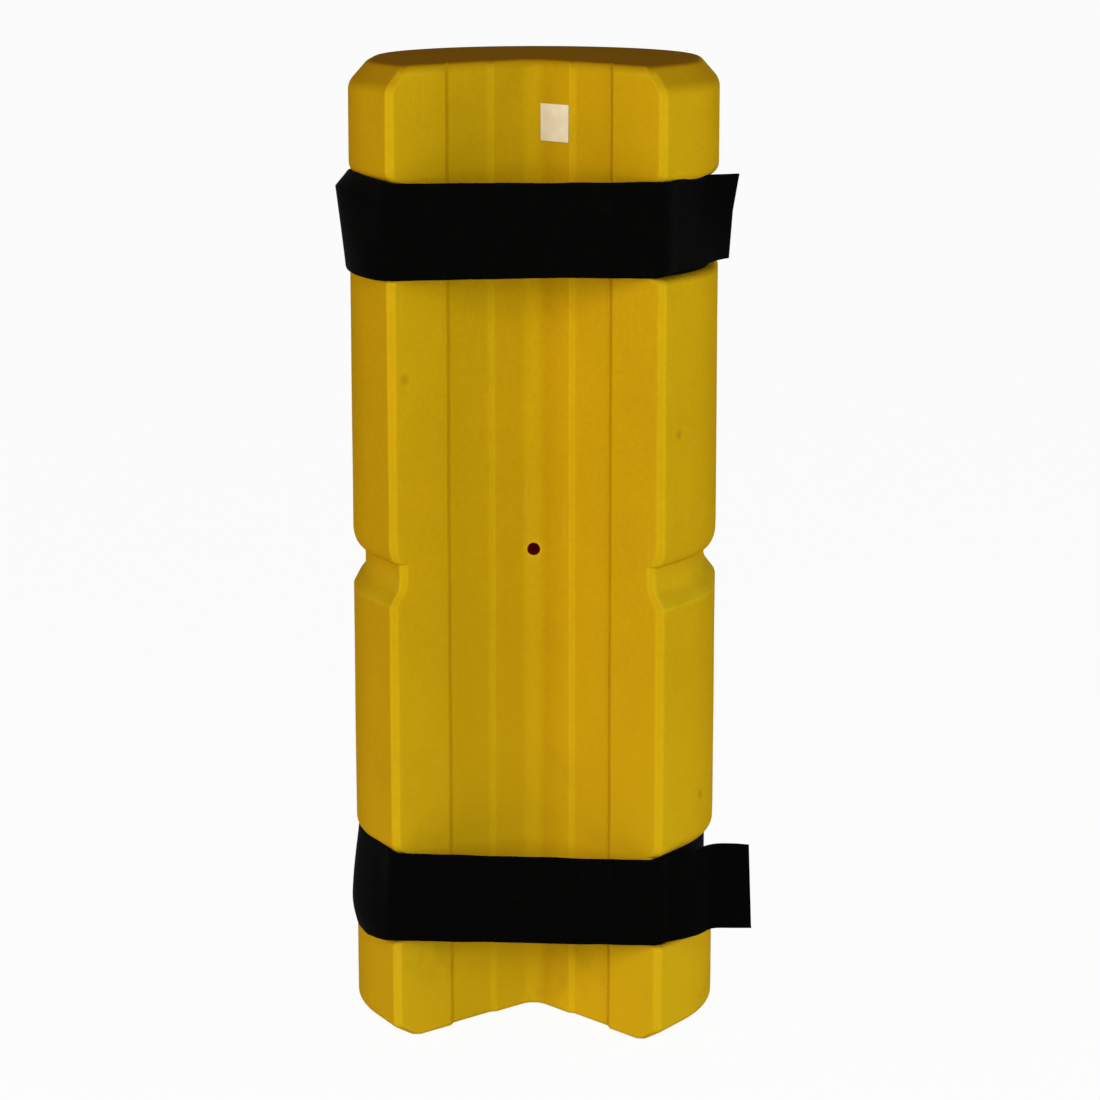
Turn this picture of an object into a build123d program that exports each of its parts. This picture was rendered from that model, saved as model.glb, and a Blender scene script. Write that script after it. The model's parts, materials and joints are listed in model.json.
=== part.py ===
from build123d import *
from itertools import pairwise
from math import cos, radians, sin, tan
import os

# Rack upright protector, in millimetres: a hollow moulded guard that stands in front of a
# rack upright, and two hook-and-loop straps that tie it on. Seen from the channel side, +X is
# right, +Y points away through the rounded front and +Z is up. The origin is on the floor,
# below the centre of the rounded front.

# Moulded body
HEIGHT = 560
HALF_WIDTH = 105  # also the radius of the rounded front
TIP_BACK = 98  # from the centre of the front back to the leg tips
TIP_OUTER = 77.2  # half the width over the leg tips
FACE_ANGLE = 57.5  # outer face of each leg, from X
SIDE_RADIUS = 90  # blend between leg face and side
HIDDEN_RADIUS = 25  # closes the outline behind the tips, cut away by the channel
WALL = 5
RIM_INSET = 11.5  # chamfer round the top and bottom
RIM_RISE = 13
RIM_ROUND = 4

# Stepped channel for the rack upright, from the leg tips to the middle
TIP_LAND = 4.6  # flat end of each leg
TIP_ROUND = 3
TIP_TURN = 35  # degrees of rounding on the outer corner of each tip
SEAT_ANGLE = 43  # seat faces, from X
STEP_X = 46.5  # outer edge of the step in each flank
STEP_IN = 2.9
STEP_RISE = 6.2
RIDGE_X = 28.2  # outer edge of the ridge in each flank
RIDGE_IN = 6.9
RIDGE_RISE = 4
CORNER_ROUND = 1.5
CENTRE_ROUND = 6
VENT = 7.5  # moulding vent in the middle of the channel

# Grooves round the outside
GROOVE_DEPTH = 7
LIP_ROUND = 3
FLOOR_ROUND = 2
LOWER_GROOVE_UP = 86  # floor to the middle of the lower strap groove
UPPER_GROOVE_DOWN = 90  # top to the middle of the upper strap groove
STRAP_LEDGE = 4.8
RIB_FLOOR = 8  # stiffening groove at half height
RIB_LEDGE = 10

# Hook-and-loop straps
STRAP_WIDTH = 50.8
STRAP_THICK = 1.8
STRAP_PLAY = 0.8  # between strap edge and groove ledge
SEAT_GAP = 0.3
FOLD_GAP = 0.3  # between two strap pieces at a fold
PATCH_LENGTH = 52
PATCH_HEIGHT = 46
PATCH_THICK = 1
PATCH_GAP = 0.3  # between hooks and loops
INNER_LENGTH = 62  # strap end that lies under the flap
PATCH_SETBACK = 6  # fold of the inner end to its loop patch
FLAP_LEFT = 3.2  # flap fold inside the outer corner of the left tip
FLAP_RIGHT = 3.7  # tail fold inside the outer corner of the right tip
STITCH_LENGTH = 3
STITCH_PITCH = 4.6
STITCH_WIDTH = 0.6
STITCH_THICK = 0.3
STITCH_EDGE = 3  # patch edge to the row of stitches

# Where the loose strap stands off its groove on the left: places on the side blend in
# degrees and on the leg face in millimetres from the tip, each with its distance
BOW_SIDE = ((0, 3), (-13, 5.3), (-30, 10.8))
BOW_FACE = (9.5, 9.2)

# Free tails, from the tail fold: the upper one lies back along the leg, the lower one
# swings out
UPPER_TAIL = ((0, 0), (13, 21), (22, 36), (29.5, 48), (39.5, 59))
LOWER_TAIL = ((0, 0), (6.5, 3.6), (13.5, 8.5), (20, 14), (25, 20), (30, 26.5), (36, 30.5), (54.5, 32))

# Blank label on the right flank
LABEL_WIDTH = 22
LABEL_HEIGHT = 23
LABEL_THICK = 0.3
LABEL_DOWN = 35  # top of the body to the middle of the label

FACE = radians(FACE_ANGLE)
SEAT = radians(SEAT_ANGLE)
FACE_OUT = Vector(sin(FACE), -cos(FACE))
FACE_ALONG = Vector(cos(FACE), sin(FACE))


def centre_y(x, radius):
    """Y of the centre at x whose arc of this radius touches the leg face."""
    return -TIP_BACK - ((TIP_OUTER - x) * sin(FACE) - radius) / cos(FACE)


SIDE_CENTRE = Vector(HALF_WIDTH - SIDE_RADIUS, centre_y(HALF_WIDTH - SIDE_RADIUS, SIDE_RADIUS))
HIDDEN_CENTRE = Vector(0, centre_y(0, HIDDEN_RADIUS))
BEHIND = HIDDEN_CENTRE.Y - 2 * HIDDEN_RADIUS

# Tip of the right leg, and of the strap's middle line in the groove
TIP = Vector(TIP_OUTER, -TIP_BACK)
GROOVE_PATH = GROOVE_DEPTH - SEAT_GAP - STRAP_THICK / 2
PATH_TIP = TIP - FACE_OUT * GROOVE_PATH
FOLD_ROOM = STRAP_THICK / 2 + FOLD_GAP

LOWER_GROOVE = LOWER_GROOVE_UP
UPPER_GROOVE = HEIGHT - UPPER_GROOVE_DOWN
RIB_GROOVE = (LOWER_GROOVE + UPPER_GROOVE) / 2
STRAP_FLOOR = STRAP_WIDTH + 2 * STRAP_PLAY
GROOVES = (
    (LOWER_GROOVE, STRAP_FLOOR, STRAP_LEDGE),
    (RIB_GROOVE, RIB_FLOOR, RIB_LEDGE),
    (UPPER_GROOVE, STRAP_FLOOR, STRAP_LEDGE),
)

# Corners of the right flank, from the leg tip to the line of its innermost seat face
SEAT_X = TIP_OUTER - TIP_LAND
STEP = Vector(STEP_X, -TIP_BACK + (SEAT_X - STEP_X) * tan(SEAT))
STEP_TOP = STEP + Vector(-STEP_IN, STEP_RISE)
RIDGE = Vector(RIDGE_X, STEP_TOP.Y + (STEP_TOP.X - RIDGE_X) * tan(SEAT))
RIDGE_TOP = RIDGE + Vector(-RIDGE_IN, RIDGE_RISE)
CENTRE_Y = RIDGE_TOP.Y + RIDGE_TOP.X * tan(SEAT) - CENTRE_ROUND / cos(SEAT)


def outline(inset):
    """Outer outline of the body, drawn in by inset and closed behind the leg tips."""
    with BuildSketch() as face:
        with BuildLine():
            CenterArc((0, 0), HALF_WIDTH - inset, 0, 90)
            Line((HALF_WIDTH - inset, 0), (HALF_WIDTH - inset, SIDE_CENTRE.Y))
            side = CenterArc(SIDE_CENTRE, SIDE_RADIUS - inset, 0, FACE_ANGLE - 90)
            hidden = CenterArc(HIDDEN_CENTRE, HIDDEN_RADIUS - inset, FACE_ANGLE - 90, -FACE_ANGLE)
            Line(side @ 1, hidden @ 0)
            mirror(about=Plane.YZ)
        make_face()
    return face.sketch


def levels(wall):
    """Heights of the tower and how far its outline is drawn in there."""
    half = wall / 2
    steps = [(wall, RIM_INSET + half), (RIM_RISE + half, wall)]
    for middle, floor, ledge in GROOVES:
        near, far = floor / 2 + half, floor / 2 + ledge + half
        deep = GROOVE_DEPTH + wall
        steps += [(middle - far, wall), (middle - near, deep), (middle + near, deep), (middle + far, wall)]
    return steps + [(HEIGHT - RIM_RISE - half, wall), (HEIGHT - wall, RIM_INSET + half)]


def tower(wall):
    """Body without its channel, with the rims and grooves, drawn in by a wall."""
    with BuildPart() as solid:
        for low, high in pairwise(levels(wall)):
            for height, inset in (low, high):
                with BuildSketch(Plane.XY.offset(height)):
                    add(outline(inset))
            loft(ruled=True)
    return solid.part


def channel(grow):
    """Space of the channel and everything behind the leg tips, grown by a wall."""
    with BuildSketch() as face:
        with BuildLine():
            middle = CenterArc((0, CENTRE_Y), CENTRE_ROUND, 90, -SEAT_ANGLE)
            land = Vector(TIP_OUTER - TIP_ROUND * sin(radians(TIP_TURN)), -TIP_BACK)
            FilletPolyline(
                middle @ 1, RIDGE_TOP, RIDGE, STEP_TOP, STEP, (SEAT_X, -TIP_BACK), land, radius=CORNER_ROUND
            )
            corner = CenterArc(land + Vector(0, TIP_ROUND), TIP_ROUND, -90, TIP_TURN)
            away = corner @ 1 + corner % 1 * HALF_WIDTH
            Polyline(corner @ 1, away, (away.X, BEHIND), (0, BEHIND))
            mirror(about=Plane.YZ)
        make_face()
        if grow:
            offset(amount=grow, kind=Kind.INTERSECTION)
    return face.sketch


os.makedirs("parts", exist_ok=True)


def save(piece, label):
    piece.part.label = label
    export_step(piece.part, f"parts/{label}.step")


# Moulded body: the outside with its rounded rims and grooves, less the cavity, the channel
# and the vent
with BuildPart() as cavity:
    add(tower(WALL))
    with BuildSketch():
        add(channel(WALL))
    extrude(amount=HEIGHT, mode=Mode.SUBTRACT)

with BuildPart() as body_shell:
    add(tower(0))
    rim_heights = (0, RIM_RISE, HEIGHT - RIM_RISE, HEIGHT)
    for height, inset in levels(0):
        radius = RIM_ROUND if height in rim_heights else FLOOR_ROUND if inset else LIP_ROUND
        fillet(body_shell.edges().filter_by_position(Axis.Z, height, height), radius)
    with BuildSketch():
        add(channel(0))
    extrude(amount=HEIGHT, mode=Mode.SUBTRACT)
    add(cavity.part, mode=Mode.SUBTRACT)
    with Locations(Plane((0, CENTRE_Y, RIB_GROOVE), z_dir=(0, 1, 0))):
        Cylinder(VENT / 2, 2 * CENTRE_ROUND + 2 * WALL, align=(Align.CENTER, Align.CENTER, Align.MIN),
                 mode=Mode.SUBTRACT)
save(body_shell, "body_shell")

# Blank label on the innermost seat face of the right flank
label_x = (RIDGE_TOP.X + CENTRE_ROUND * sin(SEAT)) / 2
label_y = RIDGE_TOP.Y + (RIDGE_TOP.X - label_x) * tan(SEAT)
label_plane = Plane(
    (label_x, label_y, HEIGHT - LABEL_DOWN),
    x_dir=(cos(SEAT), -sin(SEAT), 0),
    z_dir=(-sin(SEAT), -cos(SEAT), 0),
)
with BuildPart() as label:
    with BuildSketch(label_plane):
        Rectangle(LABEL_WIDTH, LABEL_HEIGHT)
    extrude(amount=LABEL_THICK)
save(label, "blank_label")

# Folds of the straps, as points in plan. The inner end lies in front of the edge where the
# groove floor meets the outermost seat face, and the patches and the flap lie in front of it.
groove_tip = TIP - FACE_OUT * GROOVE_DEPTH
seat_out = Vector(sin(SEAT), cos(SEAT))
groove_tip += FACE_ALONG * ((Vector(SEAT_X, -TIP_BACK) - groove_tip).dot(seat_out) / FACE_ALONG.dot(seat_out))
inner_y = groove_tip.Y - SEAT_GAP - STRAP_THICK / 2
loop_y = inner_y - STRAP_THICK / 2
hook_y = loop_y - PATCH_THICK - PATCH_GAP
flap_y = hook_y - PATCH_THICK - STRAP_THICK / 2
inner_fold = PATH_TIP + FACE_ALONG * ((inner_y - PATH_TIP.Y) / FACE_ALONG.Y)
flap_fold = Vector(FLAP_LEFT - TIP_OUTER, flap_y)
tail_fold = Vector(TIP_OUTER - FLAP_RIGHT, flap_y)
patch_x = inner_fold.X - PATCH_SETBACK - PATCH_LENGTH / 2


def mirrored(point):
    return Vector(-point.X, point.Y)


def wrap_path():
    """Middle of the wrap, from the right leg tip round the front to the left leg tip."""
    radius = SIDE_RADIUS - GROOVE_PATH
    bow = [SIDE_CENTRE + Vector(cos(radians(a)), sin(radians(a))) * (radius + off) for a, off in BOW_SIDE]
    bow.append(PATH_TIP + FACE_ALONG * BOW_FACE[0] + FACE_OUT * BOW_FACE[1])
    with BuildLine() as path:
        side = CenterArc(SIDE_CENTRE, radius, FACE_ANGLE - 90, 90 - FACE_ANGLE)
        Line(inner_fold + FACE_ALONG * FOLD_ROOM, side @ 0)
        Line(side @ 1, (HALF_WIDTH - GROOVE_PATH, 0))
        front = CenterArc((0, 0), HALF_WIDTH - GROOVE_PATH, 0, 180)
        end = flap_fold - Vector(FOLD_ROOM, 0)
        Spline(front @ 1, *map(mirrored, bow), end, tangents=((0, -1), (1, 0)))
    return path.line


def stitch_rows(plane):
    """Short stitches in a box round a patch, standing on a plane."""
    with BuildPart() as rows:
        with BuildSketch(plane):
            across, up = PATCH_LENGTH - 2 * STITCH_EDGE, PATCH_HEIGHT - 2 * STITCH_EDGE
            with GridLocations(STITCH_PITCH, up, round(across / STITCH_PITCH), 2):
                Rectangle(STITCH_LENGTH, STITCH_WIDTH)
            with GridLocations(across, STITCH_PITCH, 2, round(up / STITCH_PITCH)):
                Rectangle(STITCH_WIDTH, STITCH_LENGTH)
        extrude(amount=STITCH_THICK)
    return rows


for name, middle, tail_points in (("upper", UPPER_GROOVE, UPPER_TAIL), ("lower", LOWER_GROOVE, LOWER_TAIL)):
    strap_plane = Plane.XY.offset(middle - STRAP_WIDTH / 2)
    patch_plane = Plane.XY.offset(middle - PATCH_HEIGHT / 2)

    with BuildPart() as wrap:
        with BuildSketch(strap_plane):
            with BuildLine():
                add(wrap_path())
            trace(line_width=STRAP_THICK)
        extrude(amount=STRAP_WIDTH)
    save(wrap, f"{name}_wrap_strap")

    # Outer end: flap across the channel, free tail, hook patch and its stitches
    with BuildPart() as flap:
        with BuildSketch(strap_plane):
            with BuildLine():
                Line(flap_fold, tail_fold - Vector(FOLD_ROOM, 0))
            trace(line_width=STRAP_THICK)
            with Locations(flap_fold):
                Circle(STRAP_THICK / 2)
        extrude(amount=STRAP_WIDTH)
    save(flap, f"{name}_closure_flap")

    with BuildPart() as tail:
        with BuildSketch(strap_plane):
            with BuildLine():
                Spline(*[tail_fold + Vector(*point) for point in tail_points])
            trace(line_width=STRAP_THICK)
            with Locations(tail_fold):
                Circle(STRAP_THICK / 2)
        extrude(amount=STRAP_WIDTH)
    save(tail, f"{name}_strap_tail")

    with BuildPart() as hook:
        with BuildSketch(patch_plane):
            with Locations((patch_x, hook_y - PATCH_THICK / 2)):
                Rectangle(PATCH_LENGTH, PATCH_THICK)
        extrude(amount=PATCH_HEIGHT)
    save(hook, f"{name}_hook_patch")

    outer_face = Plane((patch_x, flap_y - STRAP_THICK / 2, middle), x_dir=(1, 0, 0), z_dir=(0, -1, 0))
    save(stitch_rows(outer_face), f"{name}_flap_stitching")

    # Inner end: under the flap, with the loop patch and its stitches
    with BuildPart() as inner:
        with BuildSketch(strap_plane):
            with BuildLine():
                Line(inner_fold, inner_fold - Vector(INNER_LENGTH, 0))
            trace(line_width=STRAP_THICK)
            with Locations(inner_fold):
                Circle(STRAP_THICK / 2)
        extrude(amount=STRAP_WIDTH)
    save(inner, f"{name}_inner_end")

    with BuildPart() as loop:
        with BuildSketch(patch_plane):
            with Locations((patch_x, loop_y - PATCH_THICK / 2)):
                Rectangle(PATCH_LENGTH, PATCH_THICK)
        extrude(amount=PATCH_HEIGHT)
    save(loop, f"{name}_loop_patch")

    inner_face = Plane((patch_x, inner_y + STRAP_THICK / 2, middle), x_dir=(-1, 0, 0), z_dir=(0, 1, 0))
    save(stitch_rows(inner_face), f"{name}_inner_stitching")
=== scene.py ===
import bmesh
import bpy
import json
from math import atan2, ceil, cos, pi, radians, sin, sqrt, tan
from mathutils import Matrix, Vector, noise
from random import Random


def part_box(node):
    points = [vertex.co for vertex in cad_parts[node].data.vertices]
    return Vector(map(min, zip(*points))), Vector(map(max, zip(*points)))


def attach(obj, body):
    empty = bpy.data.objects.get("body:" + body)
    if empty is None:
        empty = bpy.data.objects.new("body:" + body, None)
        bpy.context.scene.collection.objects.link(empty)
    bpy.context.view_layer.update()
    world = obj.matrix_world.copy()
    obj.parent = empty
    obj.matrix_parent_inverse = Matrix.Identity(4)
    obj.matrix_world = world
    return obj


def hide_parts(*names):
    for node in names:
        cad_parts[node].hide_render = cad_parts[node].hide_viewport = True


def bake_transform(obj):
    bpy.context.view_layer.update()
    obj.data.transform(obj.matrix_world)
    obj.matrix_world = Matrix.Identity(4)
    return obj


# Rack upright protector: a hollow yellow moulding with a stepped channel, a blank label and two
# black hook-and-loop straps. Sizes are in millimetres and are scaled to metres when a mesh is made.
# Seen from the channel side, +X is right, +Y points away and +Z is up. Plan points are (x, y).

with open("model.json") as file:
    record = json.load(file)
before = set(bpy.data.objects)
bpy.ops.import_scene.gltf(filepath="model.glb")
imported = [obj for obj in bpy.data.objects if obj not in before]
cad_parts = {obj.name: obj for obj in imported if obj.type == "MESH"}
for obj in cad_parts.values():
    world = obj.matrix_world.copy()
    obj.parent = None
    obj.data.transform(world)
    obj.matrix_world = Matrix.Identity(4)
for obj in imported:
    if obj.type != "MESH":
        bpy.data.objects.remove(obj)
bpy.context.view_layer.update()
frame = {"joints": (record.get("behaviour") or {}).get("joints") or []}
MM = 0.001


def box(node):
    """Lowest and highest corner of a solid, in millimetres."""
    return [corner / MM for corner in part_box(node)]


folds = {joint["name"]: Vector(joint["pos_m"]) / MM for joint in frame["joints"]}

# Moulded body: overall sizes from the frame, then the outline, the channel and the grooves
body_low, body_high = box("body_shell")
HEIGHT = body_high.z
HALF_WIDTH = body_high.x
TIP_BACK = -body_low.y
TIP_OUTER = 77.2
FACE_ANGLE = radians(57.5)
SIDE_RADIUS = 90
RIM_BOTTOM = (14, 8.5, 4, 4)  # chamfers: inset, rise, and rounds towards the end face and the wall
RIM_TOP = (11.5, 13, 6, 10)
TIP_LAND = 4.6
TIP_ROUND = 2
SEAT_ANGLE = radians(43)
STEP_X = 46.5
STEP_IN, STEP_RISE = 1.2, 4.6
STEP_ROUND = 0.5
RIDGE_X = 28.2
RIDGE_IN, RIDGE_RISE = 6.9, 4
RIDGE_FACE = radians(15)  # slope of the ridge just below its edge
RIDGE_EDGE_ROUND = 0.8
RIDGE_HOLLOW_ROUND = 4
CENTRE_ROUND = 10
EDGE_ROUND_BOTTOM, EDGE_ROUND_TOP = 2.5, 6  # where the channel meets the bottom and the top
GROOVE_DEPTH = 7
STRAP_PLAY = 0.3
STRAP_LIP_BELOW, STRAP_LIP_ABOVE = 4, 7
RIB_BELOW, RIB_ABOVE = 11, 3  # floor of the groove at half height, below and above the vent
RIB_LIP = 11.5
LEDGE_DROP = 9  # lower side of that groove
LEDGE_HOLLOW_ROUND = 12
LEDGE_EDGE_ROUND = 1.3
LEDGE_FADE = 2.2  # its painted edge highlight fades out this far down
CREASE_REACH = 1  # painted shade in a crease reaches this far
LIP_STEPS = 9
ROUND_STEPS = 5
CENTRE_STEPS, HOLLOW_STEPS, EDGE_STEPS, TIP_STEPS = 12, 5, 3, 6  # of the rounds in plan
SIDE_STEPS, FRONT_STEPS = 16, 24
VENT = 7.5
VENT_HIGHLIGHT_REACH = 0.75  # a painted highlight round its rim reaches this far out
VENT_DEPTH = 70
VENT_SIDES = 32
SHARP_ANGLE = radians(60)  # edges that turn by more are shaded sharp
NORMAL_WEIGHT = 90  # large faces steer the shading of small ones
WAVE_HEIGHT = 0.25  # slight unevenness of the moulded walls
WAVE_LENGTH = 70
WAVE_FADE = 13
ROW_HEIGHT = 10
EDGE_ROW_HEIGHT = 0.9  # rows near the top and the bottom
RUN_STEPS = 4
RUN_MARGIN = 0.8  # a worn or dirty edge fades out over this
SHORTEST_RUN = RUN_MARGIN / 10  # a shorter flat between two rounds is left out
RIM_LIGHTER = 0.25  # painted light runs up to 2 for a painted highlight on an edge and down to -1 for painted shade in a crease; the chamfers are painted this much lighter
# painted highlights on the tips, on the channel's top edge and on the ridges
TIP_HIGHLIGHT = 0.5
EDGE_HIGHLIGHT = 2
EDGE_LINE, EDGE_LINE_HALF = 5, 1.8  # painted highlight line along the top edge of the channel: distance from the top, half width
SEAT_HIGHLIGHT_FADE = 24  # the painted highlight line fades out this far from the tips
RIDGE_HIGHLIGHT = 1
# painted shade in the creases: at the channel's steps, at the lips of the strap grooves and under the lip
# of the middle groove
STEP_SHADE = 0.5
STRAP_SHADE = 0.5
RIB_SHADE = 1
# the ledge below the middle groove is painted lighter, with a painted highlight on its edge
LEDGE_LIGHTER, LEDGE_EDGE_HIGHLIGHT = 1.2, 2
SPECKS = ((-68.4, -94.1, 386.6), (84.5, -86.5, 356), (98, -62.9, 141))
SPECK_INSIDE, SPECK_REACH = 0.4, 1.1
SMUDGE_FROM, SMUDGE_FULL = 240, 20  # smudges begin and are strongest at these heights
TOP_SHADE_DOWN = 13  # painted shade lies on faces that look up this close to the top
FLOOR_LIGHT_UP = 300  # painted light from the floor makes the plastic paler from this height down to the floor

FACE_ALONG = Vector((cos(FACE_ANGLE), sin(FACE_ANGLE)))
FACE_OUT = Vector((sin(FACE_ANGLE), -cos(FACE_ANGLE)))
SEAT_ALONG = Vector((cos(SEAT_ANGLE), -sin(SEAT_ANGLE)))
TIP = Vector((TIP_OUTER, -TIP_BACK))
SEAT_END = TIP - Vector((TIP_LAND, 0))
STEP = SEAT_END - SEAT_ALONG * (SEAT_END.x - STEP_X) / SEAT_ALONG.x
STEP_TOP = STEP + Vector((-STEP_IN, STEP_RISE))
RIDGE = STEP_TOP - SEAT_ALONG * (STEP_TOP.x - RIDGE_X) / SEAT_ALONG.x
RIDGE_TOP = RIDGE + Vector((-RIDGE_IN, RIDGE_RISE))
CHANNEL_APEX = RIDGE_TOP - SEAT_ALONG * RIDGE_TOP.x / SEAT_ALONG.x
SEAT_OUT = Vector((-sin(SEAT_ANGLE), -cos(SEAT_ANGLE)))
FLANK_START = CHANNEL_APEX + SEAT_ALONG * CENTRE_ROUND * tan(SEAT_ANGLE)
CENTRE_Y = CHANNEL_APEX.y - CENTRE_ROUND * (1 / cos(SEAT_ANGLE) - 1)
VENT_MIDDLE = Vector((0, CENTRE_Y, (folds["lower_flap_fold"].z + folds["upper_flap_fold"].z) / 2))

# Straps
STRAP_PATH = 5.8  # middle of a strap in its groove, inside the body's outline
STRAP_THICK = 1.8
SELVEDGE_STEPS = 6
ACROSS_STEPS = 14
STATION = 3  # spacing of the strap's cross sections
FOLD_ROUND = 4
FOLD_STEPS, LEG_STEPS, BEND_STEPS = 8, 24, 48  # of the rounds in plan
STEER_PART = 5  # a loose curve meets the flap along this part of it
EDGE_WAVE = 0.45  # how far a strap's edges wander
EDGE_WAVE_LENGTH = 19
EDGE_CALM = 12  # edges run true this close to a fold
CUT_HOLLOW = 1.6  # a cut end curves in by this
CUT_RAGGED = 0.35
CUT_GRAIN = 3
CUT_REACH = 14
CUT_ROUND = 0.5
CUT_THIN = 0.5  # share of the thickness that is left at the very end

# Hook tape, loop tape, stitching and label
TAPE_BASE = 0.45
TAPE_CORNER = 1.5
TAPE_BEVEL = 0.12
TAPE_MARGIN = 1.6
WIRE_SIDES = 6
HOOK_PITCH = 1.6
HOOK_PATH = ((0, -0.05), (0, 0.28), (0.07, 0.42), (0.2, 0.46), (0.31, 0.36))
HOOK_WIDE = 0.11
LOOP_PITCH = 1.5
LOOP_PATH = ((-0.45, -0.05), (-0.42, 0.3), (-0.18, 0.47), (0.18, 0.47), (0.42, 0.3), (0.45, -0.05))
LOOP_WIDE = 0.08
LOOP_STRAY = 0.3
LOOP_SEED = 7
STITCH_PITCH = 4.6
STITCH_PATH = ((-1.75, -0.25), (-1.5, 0), (-0.9, 0.08), (0, 0.1), (0.9, 0.08), (1.5, 0), (1.75, -0.25))
STITCH_WIDE = 0.19
STITCH_FLAT = 1.5  # a stitch is this much wider than it is high
LABEL_CORNER = 0.5
LABEL_SHORT = 1  # the sticker stops this far from each end of its solid
LABEL_RINGS = ((1, 0), (1, 0.2), (0.985, 0.26), (0.8, 0.26), (0.55, 0.26), (0.25, 0.26))
LABEL_CURL = 0.5
LABEL_FLAT = 0.62


def meet(point, along, other, other_along):
    """Where two lines in plan cross."""
    cross = along.x * other_along.y - along.y * other_along.x
    away = other - point
    return point + along * (away.x * other_along.y - away.y * other_along.x) / cross


RIDGE_FOOT = meet(RIDGE, SEAT_ALONG, RIDGE_TOP, Vector((cos(RIDGE_FACE), -sin(RIDGE_FACE))))
SHARP_TIP = meet(SEAT_END, SEAT_ALONG, TIP, FACE_ALONG)


def rounded(before, corner, after, radius, steps):
    """Points of a round on a corner between two straight runs."""
    into, out = (before - corner).normalized(), (after - corner).normalized()
    half = into.angle(out) / 2
    centre = corner + (into + out).normalized() * radius / sin(half)
    first = corner + into * radius / tan(half) - centre
    last = corner + out * radius / tan(half) - centre
    turn = pi - 2 * half
    return [
        centre + (first * sin(turn * (1 - k / steps)) + last * sin(turn * k / steps)) / sin(turn)
        for k in range(steps + 1)
    ]


def divided(start, end, pieces):
    """Points of a straight run, without its end."""
    return [start.lerp(end, k / pieces) for k in range(pieces)]


def smooth(points):
    """Curve through points, from the second to the last but one, which the outer two only steer."""
    curve = []
    for a, b, c, d in zip(points, points[1:], points[2:], points[3:]):
        pieces = ceil((c - b).length / STATION)
        for k in range(pieces):
            t = k / pieces
            curve.append(b + ((c - a) * t + (2 * a - 5 * b + 4 * c - d) * t**2
                              + (3 * b - a - 3 * c + d) * t**3) / 2)
    return curve + [points[-2]]


def even(points, count):
    """The same line with evenly spaced points."""
    lengths = [0]
    for a, b in zip(points, points[1:]):
        lengths.append(lengths[-1] + (b - a).length)
    spread, i = [], 0
    for k in range(count):
        target = lengths[-1] * k / (count - 1)
        while i < len(points) - 2 and lengths[i + 1] < target:
            i += 1
        share = (target - lengths[i]) / (lengths[i + 1] - lengths[i])
        spread.append(points[i].lerp(points[i + 1], share))
    return spread


def run_length(points):
    """Length of a line through points."""
    return sum((b - a).length for a, b in zip(points, points[1:]))


def ease(t):
    """Smooth step from 0 to 1."""
    t = min(max(t, 0), 1)
    return t * t * (3 - 2 * t)


def join_rings(mesh, ring, following):
    """Faces between two closed rings with the same number of points."""
    for k in range(len(ring)):
        mesh.faces.new((ring[k - 1], ring[k], following[k], following[k - 1]))


def close_ring(mesh, ring):
    """Flat end face with a sharp edge."""
    for edge in mesh.faces.new(ring).edges:
        edge.smooth = False


def add_piece(name, mesh, body, slot, material, *nodes):
    """Finished mesh, in millimetres, as a piece that rides on a body and stands for solids."""
    for vert in mesh.verts:
        vert.co *= MM
    bmesh.ops.recalc_face_normals(mesh, faces=mesh.faces)
    data = bpy.data.meshes.new(name)
    mesh.to_mesh(data)
    mesh.free()
    data.polygons.foreach_set("use_smooth", [True] * len(data.polygons))
    piece = bpy.data.objects.new(name, data)
    bpy.context.scene.collection.objects.link(piece)
    data.materials.append(material)
    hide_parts(*nodes)
    if body:
        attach(piece, body)
    return piece


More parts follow.
